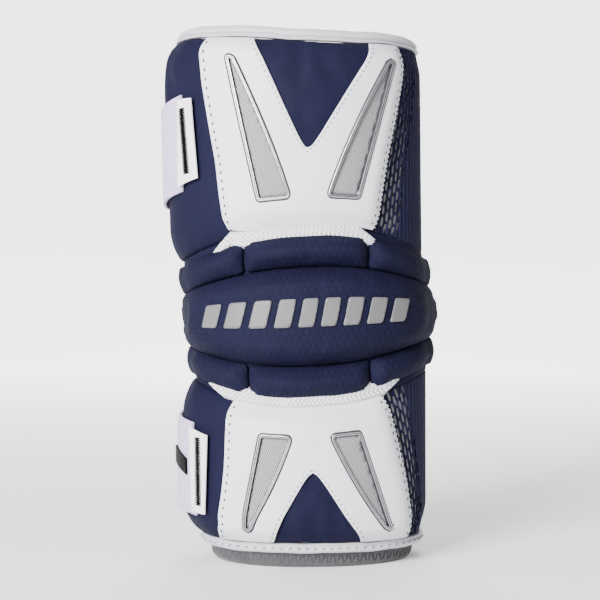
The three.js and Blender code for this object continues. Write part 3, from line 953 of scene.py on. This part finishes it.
def panel_cut(half):
    rim, way = half.rim, half.way
    apex = half.rim - way * half.notch_deep
    marks = [rim, rim - way * EDGE_LOOP, half.near, half.near + way * EDGE_LOOP]
    marks += [half.wide_end + d for d in (-EDGE_LOOP, 0, EDGE_LOOP)]
    marks += [half.tip + d for d in (-EDGE_LOOP, 0, EDGE_LOOP)]
    marks += [apex + way * d * MM for d in (-0.5, 0, 0.15, 0.5, 1.1, 2.0, 3.4, 5.2)]
    fill = [value for value in steps(half.near, rim, 2.6 * MM)
            if min(abs(value - mark) for mark in marks) > 0.9 * MM]
    rows = spread_out(marks + fill)
    low, high = sorted((half.wide_end, half.tip))

    def keep(column, row):
        middle = (rows[row] + rows[row + 1]) / 2
        place = column - (2 * PANEL_CELLS + 1) / 2 + 0.5
        if place == 0:
            return False
        cell = abs(place) - 1
        return not (NOTCH_CELLS <= cell < WINDOW_END and low < middle < high)

    bm = cut_sheet(lambda height: panel_columns(half, height), rows, keep)
    for vert in bm.verts:
        fade = 1 - min(1.0, abs(vert.co.y - half.near) / (24 * MM))
        vert.co.y += half.way * corner_lift(half, vert.co.x) * fade
    raise_cut(bm, skin_rise(half))
    return bm


for half in halves:
    sew(f"{half.name}_panel", panel_cut(half), [panel_skin], wall=SKIN)

# %% [markdown]
# ## Inserts
# Each window holds a silver frame with rounded corners and a sunk grille. The outline is bevelled
# at its corners, inset step by step for the frame's section, and cut across so that it can bend.

# %% Inserts
def corner_angle(vert):
    one, other = (edge.other_vert(vert).co - vert.co for edge in vert.link_edges)
    return one.angle(other)


def insert_outline(half, side, grow, radius):
    """One face over a window, with corners of this radius at its wide end."""
    inner_wide, outer_wide = half.window(half.wide_end, side > 0)
    inner_tip, outer_tip = half.window(half.tip, side > 0)
    start, end = half.wide_end - half.way * grow, half.tip + half.way * grow
    bm = bmesh.new()
    bmesh.ops.create_grid(bm, x_segments=1, y_segments=1, size=0.5)
    for vert in bm.verts:
        tip, outer = vert.co.y > 0, vert.co.x > 0
        width = (inner_tip, outer_tip) if tip else (inner_wide, outer_wide)
        x = width[1] + grow if outer else width[0] - grow
        vert.co = (side * x, end if tip else start, 0)
    bmesh.ops.recalc_face_normals(bm, faces=bm.faces)
    if bm.faces[:][0].normal.z < 0:
        bmesh.ops.reverse_faces(bm, faces=bm.faces)
    far = [v for v in bm.verts if abs(v.co.y - end) < MM]
    near = [v for v in bm.verts if abs(v.co.y - start) < MM]
    tip_width = abs(far[0].co.x - far[1].co.x)
    corners = [([vert], radius / math.tan(corner_angle(vert) / 2)) for vert in near]
    for verts, offset in (*corners, (far, 0.46 * tip_width)):
        bmesh.ops.bevel(bm, geom=verts, offset=offset, offset_type="OFFSET", affect="VERTICES",
                        segments=6, profile=0.5, material=-1)
    return bm


def cross_cut(bm, pitch, both=False):
    """Cuts a flat shape into strips, so that it bends smoothly when it is wrapped."""
    for axis in ((0, 1) if both else (1,)):
        values = [v.co[axis] for v in bm.verts]
        for value in steps(min(values), max(values), pitch)[1:-1]:
            place, normal = Vector((0, 0, 0)), Vector((0, 0, 0))
            place[axis], normal[axis] = value, 1
            bmesh.ops.bisect_plane(bm, geom=bm.verts[:] + bm.edges[:] + bm.faces[:], dist=1e-6,
                                   plane_co=place, plane_no=normal)


def bow_side(bm, half, side):
    """Bends a straight-sided cut along with its window's bowed side."""
    for vert in bm.verts:
        straight, outer = half.window(vert.co.y, side > 0, 0)
        bowed, _ = half.window(vert.co.y, side > 0)
        across = np.clip((side * vert.co.x - straight) / (outer - straight), 0, 1)
        vert.co.x += side * (bowed - straight) * (1 - across)


FRAME_GROW = 2.25 * MM
FRAME_STEPS = (  # width, step up, painted dark shade
    (0.5, 0.0, True), (0.35, 0.8, True), (0.75, 0.15, False), (0.35, -0.5, True),
    (0.45, 0.4, False), (0.3, -1.0, True), (0.05, -1.6, True),
)
for half in halves:
    for side, word in ((-1, "left"), (1, "right")):
        bm = insert_outline(half, side, FRAME_GROW, 3.5 * MM)
        # Steps marked in FRAME_STEPS take the dark grey painted shade.
        for width, up, groove in FRAME_STEPS:
            face = max(bm.faces, key=lambda f: f.calc_area())
            made = bmesh.ops.inset_region(bm, faces=[face], thickness=width * MM, depth=up * MM,
                                          use_even_offset=True, use_boundary=True)
            for rim_face in made["faces"]:
                rim_face.material_index = int(groove)
        middle = max(bm.faces, key=lambda f: f.calc_area())
        bmesh.ops.delete(bm, geom=[middle], context="FACES")
        cross_cut(bm, 4 * MM)
        bow_side(bm, half, side)
        raise_cut(bm, lambda u, v: skin_rise(half)(u, v) + 0.1 * MM)
        sew(f"{half.name}_insert_rim_{word}", bm, [rim_silver, painted_groove_shade], wall=0.3 * MM)
        bm = insert_outline(half, side, -0.1 * MM, 1.0 * MM)
        cross_cut(bm, 2.4 * MM, both=True)
        bow_side(bm, half, side)
        raise_cut(bm, lambda u, v: half.pad_rise(u, v) + 0.7 * MM)
        sew(f"{half.name}_insert_mesh_{word}", bm, [grille_silver], wall=0.5 * MM, level=0)

# %% [markdown]
# ## Net
# The gusset beside the panels is warp-knit net: tall openings in staggered columns next to the
# panel, closing into ribs towards the back. Every second cross thread is dissolved, which leaves
# staggered cells, and each cell is inset and emptied. Softening turns the gaps into ovals.

# %% Net
MESH_REACH = arc(100)
HOLE_COLUMNS, HOLE_WIDE, HOLE_HIGH = 5, 2.9 * MM, 6.3 * MM


def net_cut(half):
    rows = steps(half.low, half.high, HOLE_HIGH / 2)
    thin, thick = half.threads

    def start(height):
        return half.pad_front(height) + arc(0.5)

    def columns(height):
        first = start(height)
        holes = [first + 0.8 * MM + i * HOLE_WIDE for i in range(HOLE_COLUMNS + 1)]
        return [first, *holes, *np.linspace(holes[-1], MESH_REACH, 24)[1:]]

    bm = cut_sheet(columns, rows)
    gone = []
    for edge in bm.edges:
        a, b = edge.verts
        if abs(a.co.y - b.co.y) > 0.01 * MM:
            continue
        first = start(a.co.y) + 0.8 * MM
        column = round(((a.co.x + b.co.x) / 2 - first) / HOLE_WIDE - 0.5)
        row = round((a.co.y - half.low) / (rows[1] - rows[0]))
        inside = 0 <= column < HOLE_COLUMNS and 0 < row < len(rows) - 1
        if inside and abs(a.co.x - b.co.x) > 0.9 * HOLE_WIDE and (column + row) % 2 == 0:
            gone.append(edge)
    bmesh.ops.dissolve_edges(bm, edges=gone, use_verts=False)
    cells = [face for face in bm.faces if len(face.verts) > 4]
    groups = {}
    for face in cells:
        away = abs(face.calc_center_median().y - half.near) / half.reach
        groups.setdefault(round(away * 4), []).append(face)
    for step, faces in groups.items():
        bmesh.ops.inset_individual(bm, faces=faces, thickness=thin + (thick - thin) * step / 4,
                                   use_even_offset=True)
    bmesh.ops.delete(bm, geom=cells, context="FACES")
    raise_cut(bm, lambda u, v: 2.5 * MM)
    return bm


for half in halves:
    sew(f"{half.name}_net", net_cut(half), [net_cloth], wall=0.9 * MM)

# %% Backs
for half in halves:
    left, right = MESH_REACH + 0.1 * MM, 2 * FULL - PAD_BACK + 0.5 * MM
    bm = cut_sheet(steps(left, right, 4 * MM), steps(half.low, half.high, 3 * MM))
    raise_cut(bm, lambda u, v: KNIT_RISE + 0.6 * gathered(u, v))
    sew(f"{half.name}_back", bm, [navy_plain], wall=2 * MM)

# %% [markdown]
# ## Elbow rolls
# The cap and the six segments of the two bands are cushions: cloth drawn over foam and sewn down
# at the edges, so each swells to a full round end.

# %% Elbow rolls
SEAT, CUSHION_EDGE = 3.4 * MM, 2.2 * MM


def cushion_cut(left, right, low, high, thick, thinning, corner):
    """A flat cushion that falls off towards its edges and is thinner at the arm's sides."""
    def top(u, v):
        across = min(u - left, right - u)
        along = min(v - low, high - v)
        crown = float(soft(across, 7.5 * MM) * soft(along, min(8.5 * MM, (high - low) * 0.5)))
        full = thick * (1 - thinning * abs(math.sin(u / HALF_WIDTH)) ** 3)
        return SEAT + CUSHION_EDGE + (full - CUSHION_EDGE) * crown ** 0.8

    rows = edged(low, high, min(6 * MM, (high - low) / 3), 2.6 * MM)
    return slab(edged(left, right, 6 * MM, 3 * MM), rows, lambda u, v: SEAT, top, corner)


CAP_REACH, BAND_REACH, BAND_SPLIT = arc(102), arc(98), arc(35)
gap = 0.3 * MM
# name, left, right, low, high, thickness in mm, thinning at the sides, corner radius in mm
cushions = [("elbow_cap", -CAP_REACH, CAP_REACH, -CAP_LEVEL, CAP_LEVEL, 11.8, 0.55, 9)]
for word, way in (("upper", 1), ("lower", -1)):
    low, high = sorted((way * (CAP_LEVEL + gap), way * BAND_LEVEL))
    for side, left, right in (
        ("left", -BAND_REACH, -BAND_SPLIT - gap),
        ("middle", -BAND_SPLIT + gap, BAND_SPLIT - gap),
        ("right", BAND_SPLIT + gap, BAND_REACH),
    ):
        cushions.append((f"{word}_band_{side}", left, right, low, high, 10, 0.66, 3.5))
flat_cushions = {
    name: cushion_cut(left, right, ELBOW + low, ELBOW + high, thick * MM, thinning, corner * MM)
    for name, left, right, low, high, thick, thinning, corner in cushions
}
swell(flat_cushions, lambda name, place: place.z < SEAT + 0.05 * MM,
      sideways=0.25 * MM, upwards=1.8 * MM)
for name, bm in flat_cushions.items():
    piece = sew(name, bm, [navy_embossed])

# %% [markdown]
# ## Underlay strips
# A strip of pearl knit shows between panel and rolls. It narrows to a point at both ends, and
# its pearls stand in rows like loops on a needle.

# %% Underlay strips
UNDERLAY_ENDS = {"upper": (-arc(54), arc(43)), "lower": (-arc(62.5), arc(56.5))}
PEARL, PEARL_ROWS = 2.9 * MM, 3
for half in halves:
    left, right = UNDERLAY_ENDS[half.name]
    inner = ELBOW + half.way * (BAND_LEVEL - 5 * MM)
    outer = ELBOW + half.way * (PAD_LEVEL + 1.2 * MM)

    def bumps(u, v):
        """Pearls in rows, each row set half a pearl further than the last."""
        place = float(np.clip(abs(v - inner) / abs(outer - inner), 0, 1))
        row = int(min(place * PEARL_ROWS, PEARL_ROWS - 1))
        pearl = abs(math.sin((u / PEARL + 0.5 * row) * math.pi))
        pearl *= abs(math.sin(place * PEARL_ROWS * math.pi))
        edge, end = min(place, 1 - place) * abs(outer - inner), min(u - left, right - u)
        full = float(soft(edge, 3 * MM) * soft(end, 10 * MM))
        return SEAT + (0.6 + 2.7 * full + 0.8 * math.sqrt(pearl) * full) * MM

    bm = cut_sheet(steps(left, right, 0.55 * MM), steps(*sorted((inner, outer)), 0.5 * MM))
    raise_cut(bm, bumps)
    for vert in bm.verts:
        taper = min(1.0, min(vert.co.x - left, right - vert.co.x) / (15 * MM))
        reach = 0.3 + 0.7 * taper
        vert.co.y = inner + (vert.co.y - inner) * reach + half.way * corner_lift(half, vert.co.x) * taper
    sew(f"{half.name}_underlay", bm, [underlay_knit], wall=2 * MM, level=0)

# %% [markdown]
# ## Straps
# Two flat elastic straps run from the back round the left side, each ending in a white tab.

# %% Straps and tabs
STRAP_FRONT, STRAP_BACK = arc(65), arc(235)
TAB_FRONT, TAB_BACK, TAB_HIGH = arc(56.5), arc(66), 46 * MM


def strap_rise(half):
    """The strap's outer surface: over the pad, then down onto the knit behind."""
    def rise(u, v):
        share = np.clip((-PAD_BACK - 0.6 * MM - u) / arc(8), 0, 1)
        over = half.pad_rise(max(u, -PAD_BACK), v)
        slack = 1.3 * MM * math.exp(-((u + arc(88)) / arc(14)) ** 2)
        return over + (KNIT_RISE - over) * share + slack + 0.4 * MM + STRAP_WALL

    return rise


def strap_cut(half, left, right, low, high, lift, slant=0.0, taper=(0, 0)):
    """A flat piece along the strap's line, lifted above it. Slant moves the top of its front end
    sideways, and taper moves the lower and the upper corner there upwards."""
    middle = half.strap[0]
    bm = cut_sheet(edged(left, right, 1.5 * MM, 2.6 * MM),
                   edged(middle + low, middle + high, 2 * MM, 3 * MM))
    over = strap_rise(half)
    for vert in bm.verts:
        share = (vert.co.y - middle) / (STRAP_WIDTH / 2)
        front = np.clip((vert.co.x - left) / (right - left), 0, 1)
        level = (vert.co.y - middle - low) / (high - low)
        vert.co.x += slant * share * front
        vert.co.y += strap_drop(half, vert.co.x) + front * (taper[0] + (taper[1] - taper[0]) * level)
        vert.co.z = over(vert.co.x, vert.co.y) + lift
    return bm


for half in halves:
    bm = strap_cut(half, -STRAP_BACK, -STRAP_FRONT, -STRAP_WIDTH / 2, STRAP_WIDTH / 2, 0)
    sew(f"{half.name}_strap", bm, [strap_elastic], wall=STRAP_WALL, bend=False)
    taper = (3.5 * MM, -0.5 * MM) if half.way > 0 else (-0.5 * MM, -3.5 * MM)
    bm = strap_cut(half, -TAB_BACK, -TAB_FRONT, -TAB_HIGH / 2, TAB_HIGH / 2, 1.3 * MM,
                   half.way * -2.2 * MM, taper)
    sew(f"{half.name}_strap_tab", bm, [tab_skin], wall=1.1 * MM, bend=False)

bm = strap_cut(halves[1], -arc(82.5), -arc(69.5), -0.5 * MM, 8.5 * MM, 1.4 * MM,
               taper=(-4 * MM, -4 * MM))
sew("strap_patch", bm, [rubber], wall=1.4 * MM, bend=False)

# %% [markdown]
# ## Stitches
# A seam is a row of short thread loops. Each is a small squashed ball, set along a line on the
# flat cut, so the row bends with the cloth. One mesh holds the whole row.

# %% Stitches
def along(points, pitch):
    """Places and directions at an even pitch along a line of flat points."""
    line = np.array(points, dtype=float)
    parts = np.hypot(*np.diff(line, axis=0).T)
    reach = np.concatenate([[0], np.cumsum(parts)])
    count = max(1, int(reach[-1] / pitch))
    marks = (np.arange(count) + 0.5) * reach[-1] / count
    xs, ys = np.interp(marks, reach, line[:, 0]), np.interp(marks, reach, line[:, 1])
    index = np.clip(np.searchsorted(reach, marks) - 1, 0, len(parts) - 1)
    ways = np.diff(line, axis=0)[index]
    return [(x, y, math.atan2(way[1], way[0])) for x, y, way in zip(xs, ys, ways)]


def stitch_row(bm, points, pitch, length, width, rise, turn=0.0, zigzag=False, sink=0.0):
    """Adds one row of thread loops to a flat cut."""
    for index, (x, y, angle) in enumerate(along(points, pitch)):
        made = bmesh.ops.create_uvsphere(bm, u_segments=6, v_segments=4, radius=0.5)["verts"]
        bmesh.ops.scale(bm, vec=(length, width, 0.7 * width), verts=made)
        lean = turn * (-1 if zigzag and index % 2 else 1)
        bmesh.ops.rotate(bm, cent=(0, 0, 0), matrix=Matrix.Rotation(angle + lean, 3, "Z"), verts=made)
        bmesh.ops.translate(bm, vec=(x, y, float(rise(x, y)) - sink), verts=made)


def offset_line(function, low, high, inset, count=40):
    """Flat points of a line x = function(height), moved sideways by inset."""
    return [(function(height) + inset, height) for height in np.linspace(low, high, count)]


for half in halves:
    low, high = sorted((half.near + half.way * 1.5 * MM, half.rim - half.way * 1.0 * MM))
    rise = skin_rise(half)
    seams, notch, overcast = bmesh.new(), bmesh.new(), bmesh.new()
    for side, way in enumerate((-1, 1)):
        line = offset_line(lambda z: way * half.panel_edge(z, side), low, high, -way * 2.6 * MM)
        stitch_row(seams, line, 4.2 * MM, 1.9 * MM, 1.1 * MM, rise)
    apex = half.rim - half.way * half.notch_deep
    left = [(-half.notch(z, 0) - 2.2 * MM, z) for z in np.linspace(half.rim, apex, 60)]
    right = [(half.notch(z, 1) + 2.2 * MM, z) for z in np.linspace(apex, half.rim, 60)]
    under = apex - half.way * 2.4 * MM
    turn = arc(half.notch_turn)
    stitch_row(notch, left[:-3] + [(turn, under)] + right[3:], 3.1 * MM, 1.5 * MM, 0.85 * MM, rise)
    line = offset_line(lambda z: half.panel_edge(z, 1), low, high, -0.1 * MM)
    stitch_row(overcast, line, 1.3 * MM, 2.2 * MM, 0.75 * MM, rise, turn=0.9, zigzag=True, sink=0.3 * MM)
    sew(f"{half.name}_panel_seams", seams, [grey_thread], (), level=0)
    sew(f"{half.name}_notch_seam", notch, [pale_thread], (), level=0)
    sew(f"{half.name}_overcast", overcast, [white_thread], (), level=0)

# %% [markdown]
# ## Silver bars
# A row of plain slanted bars is embroidered on the cap. Each bar is a leaning four-sided face
# with bevelled corners, raised over padding threads, and the satin stitch runs across it.

# %% Silver bars
BAR_COUNT, BAR_WIDE, BAR_HIGH, BAR_LEAN = 9, 9.2 * MM, 15 * MM, 4 * MM
BAR_LEFT, BAR_RIGHT, BAR_MIDDLE = -arc(48.5), arc(46), ELBOW + 2.2 * MM


def over_piece(name):
    """The outer surface of a cushion on the flat cut, found by a ray from outside."""
    tree = flat_trees[name]

    def rise(u, v):
        hit = tree.ray_cast(Vector((u, v, 40 * MM)), Vector((0, 0, -1)))[0]
        return hit.z if hit else SEAT

    return rise


def bars_cut():
    bm, on_cap = bmesh.new(), over_piece("elbow_cap")
    for place in np.linspace(BAR_LEFT, BAR_RIGHT, BAR_COUNT):
        made = bmesh.new()
        bmesh.ops.create_grid(made, x_segments=1, y_segments=1, size=0.5)
        for vert in made.verts:
            lean = BAR_LEAN * vert.co.y
            vert.co = (place + vert.co.x * BAR_WIDE + lean, BAR_MIDDLE + vert.co.y * BAR_HIGH, 0)
        bmesh.ops.bevel(made, geom=made.verts[:], offset=1.3 * MM, offset_type="OFFSET", affect="VERTICES",
                        segments=3, profile=0.5, material=-1)
        edge = bmesh.ops.inset_region(made, faces=made.faces[:], thickness=0.5 * MM, depth=0.1 * MM)
        for face in edge["faces"]:
            face.material_index = 1
        middle = max(made.faces, key=lambda f: f.calc_area())
        bmesh.ops.inset_region(made, faces=[middle], thickness=0.5 * MM, depth=0.5 * MM)
        cross_cut(made, 1.6 * MM, both=True)
        part = bpy.data.meshes.new("bar")
        made.to_mesh(part)
        made.free()
        bm.from_mesh(part)
        bpy.data.meshes.remove(part)
    raise_cut(bm, lambda u, v: on_cap(u, v) + 0.15 * MM)
    return bm


sew("cap_bars", bars_cut(), [silver_thread, grey_thread], (), wall=0.4 * MM, level=0)

# %% Binding stitches, painted dark as their own shadows, and tab stripes
# The white binding stitches are coloured dark grey: the painted shadow of each stitch.
edge_stitches = bmesh.new()
stitch_row(edge_stitches, [(-FULL, 11.0 * MM), (FULL, 11.0 * MM)], 5.9 * MM, 2.6 * MM, 1.0 * MM,
           lambda u, v: 5.0 * MM, turn=0.3)
sew("binding_stitches", edge_stitches, [pale_thread], (), level=0, bend=False)

for half in halves:
    over, middle = strap_rise(half), half.strap[0]
    stripe, seam = bmesh.new(), bmesh.new()
    if half.way > 0:
        line = [(-arc(62.5) - 0.8 * MM, middle + 18 * MM), (-arc(60.5), middle - 17 * MM)]
    else:
        line = [(-arc(60.2), middle + 18 * MM), (-arc(61.4), middle - 19 * MM)]
    stitch_row(stripe, line, 0.95 * MM, 4.8 * MM, 1.1 * MM, lambda u, v: over(u, v) + 1.6 * MM,
               turn=math.pi / 2)
    sew(f"{half.name}_tab_stripe", stripe, [rubber], (), level=0, bend=False)
    line = [(-TAB_BACK + 0.2 * MM, middle + way * 22 * MM) for way in (1, -1)]
    stitch_row(seam, line, 1.5 * MM, 2.4 * MM, 0.8 * MM, lambda u, v: over(u, v) + 1.2 * MM,
               turn=1.1, zigzag=True)
    drop = strap_drop(half, -STRAP_BACK)
    for inset in (2.5 * MM, 11 * MM):
        line = [(-STRAP_BACK + inset, middle + way * 23 * MM + drop) for way in (1, -1)]
        stitch_row(seam, line, 3.2 * MM, 2.4 * MM, 0.9 * MM, over)
    sew(f"{half.name}_tab_seam", seam, [white_thread], (), level=0, bend=False)
